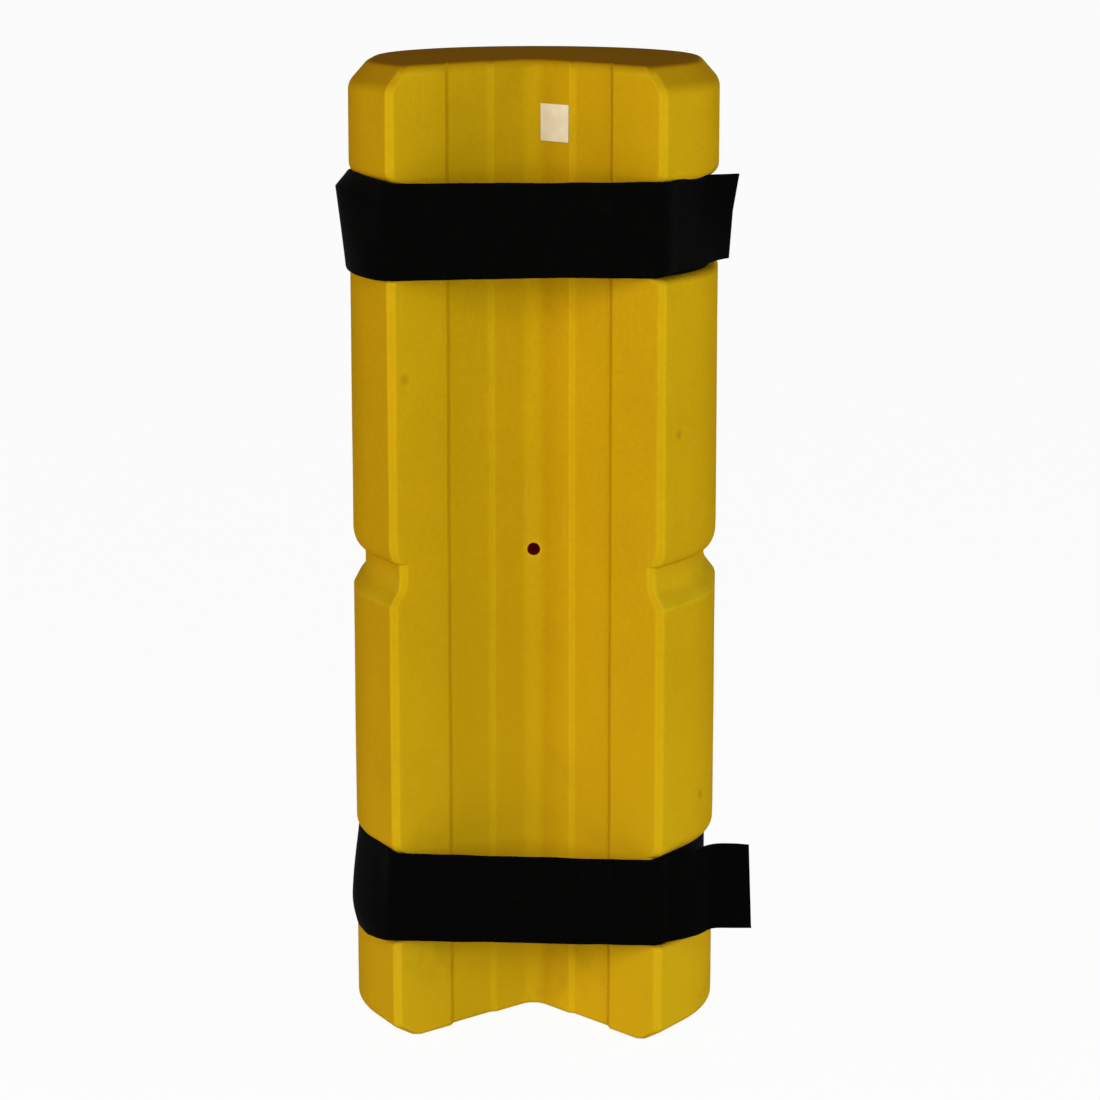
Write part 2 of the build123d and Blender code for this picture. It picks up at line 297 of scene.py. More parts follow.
def section(inset, lift, row_painted_light, tip_highlight, seat_highlight):
    """Outline of the body at one height, as points and the painted light on each one.

    The outside is drawn in by inset and the channel cut deeper by lift. The row's own painted light is on
    the outside, and the seat's painted highlight is in the channel and fades away from the tips.
    """
    face = TIP - FACE_OUT * inset
    deeper = Vector((0, lift))
    side = HALF_WIDTH - inset
    shift = meet(SEAT_END + deeper, SEAT_ALONG, face, FACE_ALONG) - SHARP_TIP
    flank = meet(face, FACE_ALONG, Vector((side, 0)), Vector((0, 1)))
    corners = [  # point, radius, steps of the round, painted light
        (CHANNEL_APEX + deeper, CENTRE_ROUND, CENTRE_STEPS, 0),
        (RIDGE_TOP + deeper, RIDGE_EDGE_ROUND, EDGE_STEPS, RIDGE_HIGHLIGHT),
        (RIDGE_FOOT + deeper, RIDGE_HOLLOW_ROUND, HOLLOW_STEPS, 0),
        (STEP_TOP + deeper, STEP_ROUND, EDGE_STEPS, -STEP_SHADE),
        (STEP + deeper, STEP_ROUND, EDGE_STEPS, 0),
        (SEAT_END + shift, TIP_ROUND, TIP_STEPS, tip_highlight),
        (TIP + shift, TIP_ROUND, TIP_STEPS, tip_highlight + row_painted_light),
        (flank, SIDE_RADIUS - inset, SIDE_STEPS, row_painted_light),
        (Vector((side, side)), side, FRONT_STEPS, row_painted_light),
    ]
    corners += [(Vector((-point.x, point.y)), *rest) for point, *rest in corners[:0:-1]]
    arcs = [
        rounded(before[0], corner[0], after[0], corner[1], corner[2])
        for before, corner, after in zip(corners[-1:] + corners, corners, corners[1:] + corners[:1])
    ]
    points, painted_light = [], []
    for arc, corner, following in zip(arcs, corners, arcs[1:] + arcs[:1]):
        run = (following[0] - arc[-1]).length
        if run < SHORTEST_RUN:
            points += arc[:-1]
            painted_light += [corner[3]] * (len(arc) - 1)
            continue
        margin = min(RUN_MARGIN, run / 4)
        start = arc[-1].lerp(following[0], margin / run)
        end = following[0].lerp(arc[-1], margin / run)
        flat = divided(start, end, RUN_STEPS) + [end]
        points += arc + flat
        painted_light += [corner[3]] * len(arc)
        if abs(start.x) > TIP.x + shift.x or start.y > CHANNEL_APEX.y:
            painted_light += [row_painted_light] * len(flat)
        else:
            painted_light += [seat_highlight * ease(1 - (SEAT_END.x + shift.x - abs(p.x)) / SEAT_HIGHLIGHT_FADE) for p in flat]
    return points, painted_light


def lip(rise, crease_shade):
    """Rounded lip of a groove, as (inset, height, painted light) from a crease at the floor, painted dark
    as shade, outwards.
    """
    rows = [(GROOVE_DEPTH, -CREASE_REACH, 0), (GROOVE_DEPTH, 0, -crease_shade)]
    for k in range(LIP_STEPS - 1, -1, -1):
        a = pi / 2 * k / LIP_STEPS
        height = rise * (1 - sin(a))
        rows.append((GROOVE_DEPTH * (1 - cos(a)), height, -crease_shade if height < CREASE_REACH else 0))
    return rows


def ledge():
    """Hollow slope below the middle groove, as (inset, drop, painted light) from the floor down to its
    edge; the slope is painted lighter and the edge has a painted highlight.
    """
    foot, edge = Vector((GROOVE_DEPTH, 0)), Vector((0, LEDGE_DROP))
    hollow = rounded(foot - edge, foot, edge, LEDGE_HOLLOW_ROUND, LIP_STEPS)
    corner = rounded(foot, edge, edge * 2, LEDGE_EDGE_ROUND, ROUND_STEPS)
    rows = [(p.x, p.y, LEDGE_LIGHTER) for p in hollow] + [(p.x, p.y, LEDGE_EDGE_HIGHLIGHT) for p in corner]
    return rows + [(0, LEDGE_DROP + LEDGE_FADE, 0)]


def rim(inset, rise, end_round, wall_round):
    """Chamfer round the bottom or the top, as (inset, distance from the end, painted light)."""
    flat, chamfer, wall = Vector((2 * inset, 0)), Vector((inset, 0)), Vector((0, rise))
    outline = rounded(flat, chamfer, wall, end_round, ROUND_STEPS)
    outline += rounded(chamfer, wall, wall * 2, wall_round, ROUND_STEPS)
    return [(p.x, p.y, RIM_LIGHTER) for p in outline]


def tower_profile():
    """Rows of the body from bottom to top, as (inset, height, painted light)."""
    rows = rim(*RIM_BOTTOM)
    lower, upper = folds["lower_flap_fold"].z, folds["upper_flap_fold"].z
    strap_low, strap_high = box("lower_wrap_strap")
    strap_half = (strap_high.z - strap_low.z) / 2 + STRAP_PLAY
    strap_sides = (lip(STRAP_LIP_BELOW, STRAP_SHADE), lip(STRAP_LIP_ABOVE, STRAP_SHADE))
    for middle, bottom, top, (below, above) in (
        (lower, strap_half, strap_half, strap_sides),
        (VENT_MIDDLE.z, RIB_BELOW, RIB_ABOVE, (ledge(), lip(RIB_LIP, RIB_SHADE))),
        (upper, strap_half, strap_half, strap_sides),
    ):
        rows += [(inset, middle - bottom - drop, painted_light) for inset, drop, painted_light in reversed(below)]
        rows += [(inset, middle + top + height, painted_light) for inset, height, painted_light in above]
    rows += [(inset, HEIGHT - height, painted_light) for inset, height, painted_light in reversed(rim(*RIM_TOP))]
    filled = []
    for row, following in zip(rows, rows[1:]):
        filled.append(row)
        spacing = EDGE_ROW_HEIGHT if min(row[1], HEIGHT - following[1]) < EDGE_ROUND_TOP else ROW_HEIGHT
        between = divided(Vector(row[:2]), Vector(following[:2]), ceil((following[1] - row[1]) / spacing))
        filled += [(p.x, p.y, 0) for p in between[1:]]
    return filled + rows[-1:]


def edge_lift(height):
    """How much deeper the channel is at a height, which rounds its edges at the bottom and the top."""
    lift = 0
    for from_end, radius in ((height, EDGE_ROUND_BOTTOM), (HEIGHT - height, EDGE_ROUND_TOP)):
        inside = max(radius - from_end, 0)
        lift += radius - sqrt(radius**2 - inside**2)
    return lift


def vent_cutter(material):
    """Round bar along Y that cuts the vent."""
    mesh = bmesh.new()
    radius = VENT / 2 * MM
    place = Matrix.Translation(VENT_MIDDLE * MM) @ Matrix.Rotation(pi / 2, 4, "X")
    bmesh.ops.create_cone(mesh, cap_ends=True, segments=VENT_SIDES, radius1=radius, radius2=radius,
                          depth=2 * VENT_DEPTH * MM, matrix=place)
    data = bpy.data.meshes.new("vent_cutter")
    mesh.to_mesh(data)
    mesh.free()
    data.materials.append(material)
    cutter = bpy.data.objects.new("vent_cutter", data)
    bpy.context.scene.collection.objects.link(cutter)
    return cutter


def moulded_body(material, painted_vent_shade_and_glow):
    """The moulding, built up in rows from the bottom, a little uneven, and with the vent cut in."""
    mesh = bmesh.new()
    # painted light that the mesh carries: painted highlights on edges and painted shade in creases
    wear_and_painted_light = mesh.verts.layers.float.new("painted_light")
    rings = []
    for inset, height, row_painted_light in tower_profile():
        tip_highlight = TIP_HIGHLIGHT * ease((HEIGHT - height) / EDGE_ROUND_TOP)
        seat_highlight = EDGE_HIGHLIGHT * ease(1 - abs(HEIGHT - height - EDGE_LINE) / EDGE_LINE_HALF)
        points, painted_light = section(inset, edge_lift(height), row_painted_light, tip_highlight, seat_highlight)
        ring = []
        for point, amount in zip(points, painted_light):
            vert = mesh.verts.new((*point, height))
            vert[wear_and_painted_light] = amount
            ring.append(vert)
        rings.append(ring)
    for ring, following in zip(rings, rings[1:]):
        join_rings(mesh, ring, following)
    mesh.faces.new(rings[0])
    mesh.faces.new(rings[-1])
    bmesh.ops.recalc_face_normals(mesh, faces=mesh.faces)
    for vert in mesh.verts:
        inside = min(vert.co.z, HEIGHT - vert.co.z, WAVE_FADE) / WAVE_FADE
        vert.co += vert.normal * WAVE_HEIGHT * inside * noise.noise(vert.co / WAVE_LENGTH)
    piece = add_piece("moulded_body", mesh, "guard", "body", material, "body_shell")

    cutter = vent_cutter(painted_vent_shade_and_glow)
    vent = piece.modifiers.new("vent", "BOOLEAN")
    vent.object = cutter
    vent.solver = "EXACT"
    vent.material_mode = "TRANSFER"
    bpy.context.view_layer.update()
    cut = bpy.data.meshes.new_from_object(piece.evaluated_get(bpy.context.evaluated_depsgraph_get()))
    piece.modifiers.clear()
    piece.data = cut
    bpy.data.objects.remove(cutter)
    cut.set_sharp_from_angle(angle=SHARP_ANGLE)
    shading = piece.modifiers.new("even_shading", "WEIGHTED_NORMAL")
    shading.weight = NORMAL_WEIGHT
    shading.keep_sharp = True


def ribbon(name, low_edge, high_edge, body, material, node,
           first=None, last=None, free_end=False, bulge=None):
    """Flat strap between two edges: a closed strip with round selvedges, mapped by length and width.

    Where it joins another piece, first and last give its direction. A bulge is given as (distance from
    the end, reach along the strap, share of the width, how round it is, height).
    """
    count = ceil(max(run_length(low_edge), run_length(high_edge)) / STATION) + 1
    low_edge, high_edge = even(low_edge, count), even(high_edge, count)
    middles = [(a + b) / 2 for a, b in zip(low_edge, high_edge)]
    total = run_length(middles)
    half_thick = STRAP_THICK / 2
    mesh = bmesh.new()
    uv = mesh.loops.layers.uv.new("weave")
    rings, places = [], {}
    length = 0

    def add_ring(low, across, out, along, width, thick_share, ragged):
        inner_width = width - 2 * half_thick
        side = [
            (half_thick + inner_width * k / ACROSS_STEPS, half_thick)
            for k in range(ACROSS_STEPS + 1)
        ]
        turns = [pi * k / SELVEDGE_STEPS for k in range(1, SELVEDGE_STEPS)]
        side += [(width - half_thick + half_thick * sin(a), half_thick * cos(a)) for a in turns]
        ring = []
        for w, t in side + [(width - w, -t) for w, t in side]:
            grain = noise.noise(Vector((w / CUT_GRAIN, low.z, 0)))
            cut = CUT_HOLLOW * sin(pi * w / width) + CUT_RAGGED * grain
            rise = t * thick_share
            if bulge:
                at, reach, peak, soft, height = bulge
                share = min(w / width / peak, (1 - w / width) / (1 - peak))
                share += (sin(share * pi / 2) - share) * soft
                rise += height * share * ease(1 - abs(total - length - at) / reach)
            vert = mesh.verts.new(low + across * w + out * rise - along * cut * ragged)
            places[vert] = (length * MM, w * MM)
            ring.append(vert)
        rings.append(ring)

    for i, (low, high) in enumerate(zip(low_edge, high_edge)):
        length += (middles[i] - middles[i - 1]).length if i else 0
        along = (middles[min(i + 1, count - 1)] - middles[max(i - 1, 0)]).normalized()
        if first and i == 0:
            along = first
        if last and i == count - 1:
            along = last
        across = (high - low).normalized()
        out = along.cross(across).normalized()
        left = CUT_REACH if free_end else total - length
        calm = ease(min(length, left) / EDGE_CALM)
        wander = []
        for edge in (low, high):
            spot = Vector((length / EDGE_WAVE_LENGTH, edge.z, edge.y / HEIGHT))
            wander.append(EDGE_WAVE * calm * noise.noise(spot))
        width = (high - low).length + wander[1] - wander[0]
        low = low + across * wander[0]
        ragged = ease(1 - (total - length) / CUT_REACH) if free_end else 0
        add_ring(low, across, out, along, width, 1, ragged)
    if free_end:
        add_ring(low + along * CUT_ROUND, across, out, along, width, CUT_THIN, 1)
    for ring, following in zip(rings, rings[1:]):
        join_rings(mesh, ring, following)
    close_ring(mesh, rings[0])
    close_ring(mesh, rings[-1])
    for face in mesh.faces:
        for loop in face.loops:
            loop[uv].uv = places[loop.vert]
    return add_piece(name, mesh, body, "strap", material, node)


def raised(plan, low, high, lift=0):
    """Points of a plan line, rising from one height to another along it, with some more lift half way."""
    last = len(plan) - 1
    return [
        Vector((p.x, p.y, low + (high - low) * k / last + lift * sin(pi * k / last)))
        for k, p in enumerate(plan)
    ]


def groove_path():
    """Middle of a strap in plan: its round over the right tip, and its run in the groove to the left."""
    side = HALF_WIDTH - STRAP_PATH
    tip = folds["upper_inner_fold"].xy
    leg = meet(tip, FACE_ALONG, Vector((side, 0)), Vector((0, 1)))
    right, left = Vector((side, side)), Vector((-side, side))
    fold = rounded(tip - Vector((HALF_WIDTH, 0)), tip, leg, FOLD_ROUND, FOLD_STEPS)
    arcs = [
        rounded(tip, leg, right, SIDE_RADIUS - STRAP_PATH, LEG_STEPS),
        rounded(leg, right, left, side, BEND_STEPS),
        rounded(right, left, Vector((-side, 0)), side, BEND_STEPS),
    ]
    return fold, [p for arc in arcs for p in arc[:-1]] + arcs[-1][-1:]


def strap(name, material, bow_low, bow_high, bow_lift, bulge, fold_z, tail_z, tail_low, tail_high):
    """One strap as four pieces: the wrap in its groove, the inner end, the flap and the free tail."""
    wrap_low, wrap_high = box(f"{name}_wrap_strap")
    flap_fold = folds[f"{name}_flap_fold"]
    tail_fold = folds[f"{name}_tail_bend"]
    inner_low, inner_high = box(f"{name}_inner_end")
    fold, groove = groove_path()
    half_fold = len(fold) // 2
    flap_start, flap_end = flap_fold.xy, tail_fold.xy
    steer = (flap_end - flap_start) / STEER_PART
    across = Vector((1, 0, 0))
    over_tip = Vector((*(fold[half_fold + 1] - fold[half_fold - 1]).normalized(), 0))

    edges = []
    for k, bow, z_groove in ((0, bow_low, wrap_low.z), (1, bow_high, wrap_high.z)):
        loose = smooth([groove[-2], groove[-1], *map(Vector, bow), flap_start, flap_start + steer])
        held = raised(fold[half_fold:] + groove[:-1], z_groove, z_groove)
        edges.append(held + raised(loose, z_groove, fold_z[k], bow_lift[k]))
    ribbon(f"{name}_wrap", *edges, "guard", material, f"{name}_wrap_strap",
           first=over_tip, last=across, bulge=bulge)

    path = fold[half_fold::-1] + [Vector((inner_low.x + CUT_ROUND, fold[0].y))]
    edges = [raised(path, z, z) for z in (inner_low.z, inner_high.z)]
    inner = ribbon(f"{name}_inner", *edges, None, material, f"{name}_inner_end",
                   first=-over_tip, free_end=True)

    edges = [raised([flap_start, flap_end], fold_z[k], tail_z[k]) for k in (0, 1)]
    flap = ribbon(f"{name}_flap", *edges, None, material, f"{name}_closure_flap",
                  first=across, last=across)

    edges = []
    for points, z_fold, z_end in ((tail_low, tail_z[0], tail_z[2]), (tail_high, tail_z[1], tail_z[3])):
        points = [flap_end, *map(Vector, points)]
        line = smooth([flap_end - steer, *points, points[-1] * 2 - points[-2]])
        edges.append(raised(line, z_fold, z_end))
    tail = ribbon(f"{name}_tail", *edges, None, material, f"{name}_strap_tail",
                  first=across, free_end=True)

    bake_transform(inner)
    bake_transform(flap)
    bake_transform(tail)


def patch_place(name, node, fold_z, tail_z):
    """Places a patch of the flap: its own X and Z along the patch, its Y away from the flap's face."""
    low, high = box(node)
    start, end = folds[f"{name}_flap_fold"], folds[f"{name}_tail_bend"]
    first, last = sum(fold_z[:2]) / 2, sum(tail_z[:2]) / 2
    middle = (low + high) / 2
    share = (middle.x - start.x) / (end.x - start.x)
    middle.z = first + (last - first) * share
    tilt = atan2(last - first, end.x - start.x)
    return Matrix.Translation(middle) @ Matrix.Rotation(-tilt, 4, "Y"), high - low


def rectangle(width, height, corner):
    """Outline of a rectangle with round corners."""
    ends = [Vector((x * width / 2, z * height / 2)) for x, z in ((-1, -1), (1, -1), (1, 1), (-1, 1))]
    corners = zip(ends[-1:] + ends, ends, ends[1:] + ends[:1])
    return [p for before, at, after in corners for p in rounded(before, at, after, corner, ROUND_STEPS)]


def tape_base(mesh, place, size, foot, head):
    """Woven ground of a tape, from its foot to its head along Y."""
    outline = rectangle(size.x, size.z, TAPE_CORNER)
    rings = []
    for y, inset in ((foot, 0), (head - TAPE_BEVEL, 0), (head, TAPE_BEVEL)):
        share = Vector((1 - 2 * inset / size.x, 1 - 2 * inset / size.z))
        rings.append([mesh.verts.new(place @ Vector((p.x * share.x, y, p.y * share.y))) for p in outline])
    for ring, following in zip(rings, rings[1:]):
        join_rings(mesh, ring, following)
    close_ring(mesh, rings[0])
    close_ring(mesh, rings[-1])


def bent_wire(mesh, place, path, wide, flat=1):
    """Thin wire through points (along, up), at a place whose X runs along it and whose Y is up."""
    points = [Vector(p) for p in path]
    rings = []
    for i, point in enumerate(points):
        along = (points[min(i + 1, len(points) - 1)] - points[max(i - 1, 0)]).normalized()
        up = Vector((-along.y, along.x))
        ring = []
        for k in range(WIRE_SIDES):
            a = 2 * pi * k / WIRE_SIDES
            spot = point + up * wide * sin(a)
            ring.append(mesh.verts.new(place @ Vector((spot.x, spot.y, wide * flat * cos(a)))))
        rings.append(ring)
    for ring, following in zip(rings, rings[1:]):
        join_rings(mesh, ring, following)
    close_ring(mesh, rings[0])
    close_ring(mesh, rings[-1])


def grid(size, pitch):
    """Places on a tape, as (x, z, row)."""
    columns = int((size.x - 2 * TAPE_MARGIN) / pitch)
    rows = int((size.z - 2 * TAPE_MARGIN) / pitch)
    return [
        ((i - columns / 2) * pitch, (j - rows / 2) * pitch, j)
        for i in range(columns + 1)
        for j in range(rows + 1)
    ]


def hook_tape(name, material, fold_z, tail_z):
    """Hook tape inside the flap: rows of small hooks that point to either side by turns."""
    place, size = patch_place(name, f"{name}_hook_patch", fold_z, tail_z)
    mesh = bmesh.new()
    foot = -size.y / 2
    tape_base(mesh, place, size, foot, foot + TAPE_BASE)
    for x, z, row in grid(size, HOOK_PITCH):
        turn = Matrix.Rotation(pi * (row % 2), 4, "Y")
        bent_wire(mesh, place @ Matrix.Translation((x, foot + TAPE_BASE, z)) @ turn, HOOK_PATH, HOOK_WIDE)
    add_piece(f"{name}_hook_tape", mesh, f"{name}_flap", "hook_tape", material, f"{name}_hook_patch")


def loop_tape(name, material):
    """Loop tape outside the inner end: a pile of small loops that lie every way."""
    low, high = box(f"{name}_loop_patch")
    size = high - low
    facing = Matrix.Translation((low + high) / 2) @ Matrix.Rotation(pi, 4, "Z")
    mesh = bmesh.new()
    foot = -size.y / 2
    tape_base(mesh, facing, size, foot, foot + TAPE_BASE)
    chance = Random(LOOP_SEED)
    for x, z, _ in grid(size, LOOP_PITCH):
        x += chance.uniform(-LOOP_STRAY, LOOP_STRAY)
        z += chance.uniform(-LOOP_STRAY, LOOP_STRAY)
        spot = Matrix.Translation((x, foot + TAPE_BASE, z))
        turn = Matrix.Rotation(chance.uniform(0, 2 * pi), 4, "Y")
        bent_wire(mesh, facing @ spot @ turn, LOOP_PATH, LOOP_WIDE)
    add_piece(f"{name}_loop_tape", mesh, f"{name}_inner", "loop_tape", material, f"{name}_loop_patch")


def stitching(piece_name, node, body, place, size, material):
    """Rectangle of stitches that holds a patch, standing on the strap's face."""
    mesh = bmesh.new()
    across, up = size.x - 2 * STITCH_WIDE, size.z - 2 * STITCH_WIDE
    stand = Matrix.Translation((0, -size.y / 2, 0))
    for long, wide, turn in ((across, up, 0), (up, across, pi / 2)):
        count = round(long / STITCH_PITCH)
        line = place @ stand @ Matrix.Rotation(turn, 4, "Y")
        for k in range(count):
            for side in (-1, 1):
                spot = Matrix.Translation(((k - (count - 1) / 2) * STITCH_PITCH, 0, side * wide / 2))
                bent_wire(mesh, line @ spot, STITCH_PATH, STITCH_WIDE, STITCH_FLAT)
    add_piece(piece_name, mesh, body, "thread", material, node)


def flank_point(distance):
    """Point and outward direction on the right flank, this far from where its flat begins."""
    if distance >= 0:
        return FLANK_START + SEAT_ALONG * distance, SEAT_OUT
    turned = Matrix.Rotation(-distance / CENTRE_ROUND, 2) @ SEAT_OUT
    return FLANK_START + (SEAT_OUT - turned) * CENTRE_ROUND, turned


def label_sheet(material):
    """Blank sticker on the right flank of the channel, with one corner a little up."""
    low, high = box("blank_label")
    middle = (low + high) / 2
    width = (high.x - low.x) / cos(SEAT_ANGLE)
    height = high.z - low.z - 2 * LABEL_SHORT
    place = (middle.xy - FLANK_START).dot(SEAT_ALONG)
    mesh = bmesh.new()
    rings = []
    for share, rise in LABEL_RINGS:
        ring = []
        for p in rectangle(width, height, LABEL_CORNER):
            u, v = p.x * share, p.y * share
            lifted = rise + LABEL_CURL * max(u / width - v / height - LABEL_FLAT, 0)
            foot, out = flank_point(place + u)
            ring.append(mesh.verts.new((*(foot + out * lifted), middle.z + v)))
        rings.append(ring)
    for ring, following in zip(rings, rings[1:]):
        join_rings(mesh, ring, following)
    mesh.faces.new(rings[0])
    mesh.faces.new(rings[-1])
    piece = add_piece("label_sheet", mesh, "guard", "label", material, "blank_label")
    piece.modifiers.new("even_shading", "WEIGHTED_NORMAL").weight = NORMAL_WEIGHT


# Colours as linear red, green and blue: the plastic, the dirt on it and the painted light and shade on
# it, then the other materials
YELLOW, YELLOW_DARK, YELLOW_LIGHT = (0.56, 0.34, 0.005), (0.535, 0.327, 0.0045), (0.58, 0.356, 0.0055)
GLOSS_COLOR = (1, 0.85, 0.3)
GRAIN_COLOR = (0.43, 0.255, 0.003)
# painted light from the floor, towards the bottom
PAINTED_FLOOR_LIGHT = (0.65, 0.415, 0.008)
# painted shade in creases, then painted highlights on edges
PAINTED_CREASE_SHADE = (0.3, 0.13, 0.002)
PAINTED_EDGE_HIGHLIGHT = (0.6, 0.46, 0.012)
SMUDGE_COLOR = (0.33, 0.2, 0.006)
STREAK_COLOR = (0.62, 0.4, 0.02)
# painted shade on the top
PAINTED_TOP_SHADE = (0.36, 0.135, 0.002)
SPECK_COLOR = (0.14, 0.08, 0.004)
# painted highlight round the vent's rim
PAINTED_VENT_HIGHLIGHT = (0.72, 0.52, 0.015)
# the vent's wall is painted dark red as shade and given a painted glow
VENT_SHADE, VENT_SHADE_DARK, VENT_SHADE_LIGHT = (0.1, 0.006, 0.002), (0.07, 0.004, 0.0015), (0.13, 0.009, 0.002)
PAINTED_VENT_GLOW = (1, 0.03, 0.01)
WEBBING_COLOR, WEBBING_WORN = (0.002, 0.002, 0.0021), (0.0025, 0.0023, 0.002)
HOOK_COLOR = (0.004, 0.004, 0.0042)
LOOP_COLOR = (0.005, 0.005, 0.0052)
THREAD_COLOR = (0.001, 0.001, 0.0011)
PAPER, PAPER_DARK, PAPER_LIGHT = (0.84, 0.78, 0.64), (0.79, 0.73, 0.59), (0.89, 0.83, 0.69)
FIBRE_COLOR = (0.56, 0.5, 0.38)
FLOOR_COLOR = (0.8, 0.8, 0.8)

STREAK_SCALE = (420, 420, 9)  # fine across and long upwards
WEAVE_WAVE, WEAVE_CHECK = 196.35, 625  # texture scales that both repeat every 1.6 mm


def new_material(name, color, roughness, specular):
    """Material with its node tree and its shader."""
    material = bpy.data.materials.new(name)
    material.use_nodes = True
    shader = material.node_tree.nodes["Principled BSDF"]
    shader.inputs["Base Color"].default_value = (*color, 1)
    shader.inputs["Roughness"].default_value = roughness
    shader.inputs["Specular IOR Level"].default_value = specular
    return material, material.node_tree, shader


def add_node(tree, kind, **values):
    """Shader node with its settings and unlinked inputs. An input's name has underscores for spaces."""
    node = tree.nodes.new(kind)
    for key, value in values.items():
        if hasattr(node, key):
            setattr(node, key, value)
        else:
            node.inputs[key.replace("_", " ")].default_value = value
    return node


def ramp(tree, source, *stops):
    """Colour ramp through (position, colour) stops."""
    node = add_node(tree, "ShaderNodeValToRGB")
    tree.links.new(source, node.inputs["Fac"])
    elements = node.color_ramp.elements
    while len(elements) < len(stops):
        elements.new(1)
    for element, (position, color) in zip(elements, stops):
        element.position = position
        element.color = (*color, 1) if isinstance(color, tuple) else (color, color, color, 1)
    return node.outputs["Color"]


def tint(tree, base, share, color):
    """Base colour mixed towards another colour by a share that varies over the surface."""
    node = add_node(tree, "ShaderNodeMix", data_type="RGBA")
    tree.links.new(share, node.inputs["Factor"])
    tree.links.new(base, node.inputs[6])
    node.inputs[7].default_value = (*color, 1)
    return node.outputs[2]


def product(tree, *factors):
    """Shares multiplied with each other."""
    result = factors[0]
    for factor in factors[1:]:
        node = add_node(tree, "ShaderNodeMath", operation="MULTIPLY")
        tree.links.new(result, node.inputs[0])
        tree.links.new(factor, node.inputs[1])
        result = node.outputs[0]
    return result


def bumped(tree, shader, *heights):
    """Chain of bumps, each as (source, strength, distance)."""
    normal = None
    for source, strength, distance in heights:
        bump = add_node(tree, "ShaderNodeBump", Strength=strength, Distance=distance)
        tree.links.new(source, bump.inputs["Height"])
        if normal:
            tree.links.new(normal, bump.inputs["Normal"])
        normal = bump.outputs["Normal"]
    tree.links.new(normal, shader.inputs["Normal"])


def noise_at(tree, place, **values):
    """Noise over the places of a surface."""
    node = add_node(tree, "ShaderNodeTexNoise", **values)
    tree.links.new(place, node.inputs["Vector"])
    return node.outputs["Fac"]


def spot_at(tree, place, point, inside, reach, share):
    """Round spot on a surface: a share that falls to nothing at its reach."""
    away = add_node(tree, "ShaderNodeVectorMath", operation="DISTANCE")
    tree.links.new(place, away.inputs[0])
    away.inputs[1].default_value = point * MM
    return ramp(tree, away.outputs["Value"], (inside * MM, share), (reach * MM, 0))


def graded(tree, source, start, end, low=0, high=1, **values):
    """Share that goes from low to high as a measure goes from start to end."""
    node = add_node(tree, "ShaderNodeMapRange", From_Min=start, From_Max=end, To_Min=low, To_Max=high,
                    **values)
    tree.links.new(source, node.inputs["Value"])
    return node.outputs[0]


def upward(tree, source):
    """Height of a place, or how much a direction points up."""
    node = add_node(tree, "ShaderNodeSeparateXYZ")
    tree.links.new(source, node.inputs["Vector"])
    return node.outputs["Z"]


def mottled(tree, place, cloudy):
    """Yellow with soft clouds and a fine grain."""
    color = ramp(tree, cloudy, (0.3, YELLOW_DARK), (0.7, YELLOW_LIGHT))
    grain = ramp(tree, noise_at(tree, place, Scale=330, Detail=3), (0.42, 0), (0.72, 0.22))
    return tint(tree, color, grain, GRAIN_COLOR)


def painted_edge_light_and_crease_shade(tree, color, place):
    """Painted shade in creases and painted highlights on edges, by the painted light that the mesh
    carries.
    """
    painted_light = add_node(tree, "ShaderNodeAttribute", attribute_name="painted_light").outputs["Fac"]
    broken = ramp(tree, noise_at(tree, place, Scale=55, Detail=4), (0.3, 0.35), (0.65, 1))
    # painted shade in the creases
    crease_shade = graded(tree, painted_light, 0, -1, high=0.85)
    color = tint(tree, color, product(tree, crease_shade, broken), PAINTED_CREASE_SHADE)
    # painted highlights on the edges
    edge_highlight = graded(tree, painted_light, 0, 2, high=0.66)
    return tint(tree, color, product(tree, edge_highlight, broken), PAINTED_EDGE_HIGHLIGHT)


def smudged(tree, color, place, height):
    """Smudges, strongest near the floor."""
    near_floor = graded(tree, height, SMUDGE_FROM * MM, SMUDGE_FULL * MM, low=0.1)
    blotches = noise_at(tree, place, Scale=22, Detail=6, Roughness=0.65)
    smudge = ramp(tree, blotches, (0.55, 0), (0.75, 0.42))
    return tint(tree, color, product(tree, near_floor, smudge), SMUDGE_COLOR)


def streaked(tree, color, place):
    """Patches of faint upright rub marks."""
    upright = add_node(tree, "ShaderNodeMapping")
    upright.inputs["Scale"].default_value = STREAK_SCALE
    tree.links.new(place, upright.inputs["Vector"])
    streaks = noise_at(tree, upright.outputs["Vector"], Scale=1, Detail=2)
    patches = ramp(tree, noise_at(tree, place, Scale=17, Detail=2), (0.56, 0), (0.68, 1))
    rubbed = product(tree, ramp(tree, streaks, (0.55, 0), (0.7, 0.28)), patches)
    return tint(tree, color, rubbed, STREAK_COLOR)


def top_shaded(tree, color, normal, height):
    """Painted shade near the top, on faces that look up, which darkens the top face and its chamfers."""
    facing_up = ramp(tree, upward(tree, normal), (0.1, 0), (0.66, 0.22), (1, 0.8))
    near_top = graded(tree, height, (HEIGHT - 2 * TOP_SHADE_DOWN) * MM, (HEIGHT - TOP_SHADE_DOWN) * MM)
    return tint(tree, color, product(tree, facing_up, near_top), PAINTED_TOP_SHADE)


